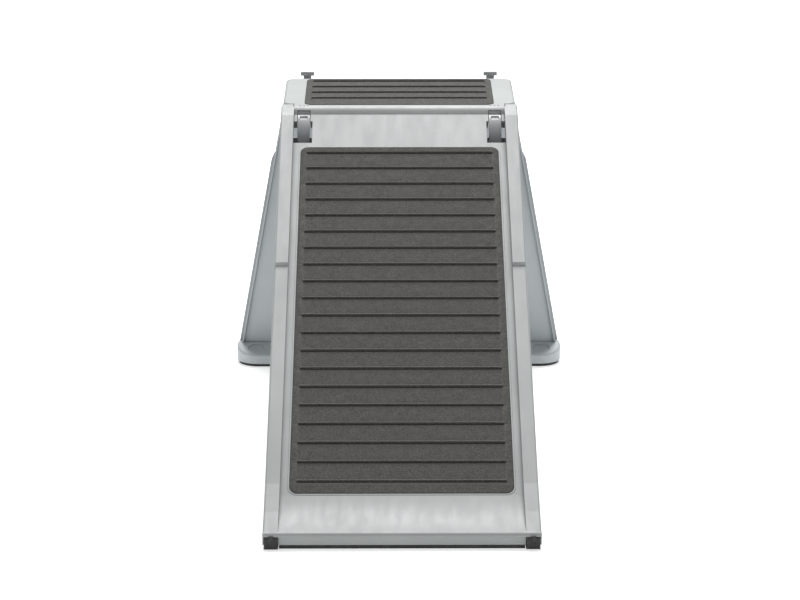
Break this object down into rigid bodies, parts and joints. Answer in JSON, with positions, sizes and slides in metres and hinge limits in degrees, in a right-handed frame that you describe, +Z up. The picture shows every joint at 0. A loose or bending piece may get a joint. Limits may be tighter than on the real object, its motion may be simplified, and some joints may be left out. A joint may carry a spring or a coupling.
{
  "type": "dog ramp",
  "caption": "Free-standing folding dog ramp: ribbed ramp with side rails, short ribbed platform and a flared rear leg, joined by hinge arms on pins.",
  "frame": {"origin": "on the floor, below the middle of the bounding box", "axes": "+Z up, +X to the right seen from the toe, -Y down the ramp towards its toe and +Y towards the leg"},
  "size_m": [0.582, 1.0492, 0.5213],
  "materials": {
    "ramp_plastic": "fine satin moulded grain",
    "platform_plastic": "fine satin moulded grain",
    "leg_plastic": "fine satin moulded grain",
    "tread_mat": "pebbled grip texture",
    "black_rubber": "matt",
    "arm_plastic": "satin glass-filled moulding",
    "pin_steel": "turned",
    "screw_steel": "zinc plated"
  },
  "bodies": {
    "platform": {"platform_panel": "platform_plastic", "platform_mat": "tread_mat", "front_pin_left": "pin_steel", "front_pin_right": "pin_steel", "rear_pin_left": "pin_steel", "rear_pin_right": "pin_steel", "front_pin_clips": "pin_steel", "rear_pin_clips": "pin_steel"},
    "ramp": {"ramp_panel": "ramp_plastic", "ramp_mat": "tread_mat", "ramp_toe_strip": "black_rubber", "ramp_foot_left": "black_rubber", "ramp_foot_right": "black_rubber", "ramp_foot_screws": "screw_steel", "front_arm_left": "arm_plastic", "front_arm_right": "arm_plastic", "front_arm_screws": "screw_steel"},
    "leg": {"leg_panel": "leg_plastic", "leg_sole": "black_rubber", "rear_arm_left": "arm_plastic", "rear_arm_right": "arm_plastic", "rear_arm_screws": "screw_steel"}
  },
  "joints": [
    {"name": "ramp_fold", "type": "hinge", "parent": "platform", "child": "ramp", "pos_m": [0, 0.3189, 0.4799], "axis": [-1, 0, 0], "range_deg": [0, 25]},
    {"name": "leg_fold", "type": "hinge", "parent": "platform", "child": "leg", "pos_m": [0, 0.4906, 0.4678], "axis": [-1, 0, 0], "range_deg": [0, 75]}
  ],
  "couplings": [
    {"joint": "leg_fold", "follows": "ramp_fold", "ratio": 3}
  ]
}
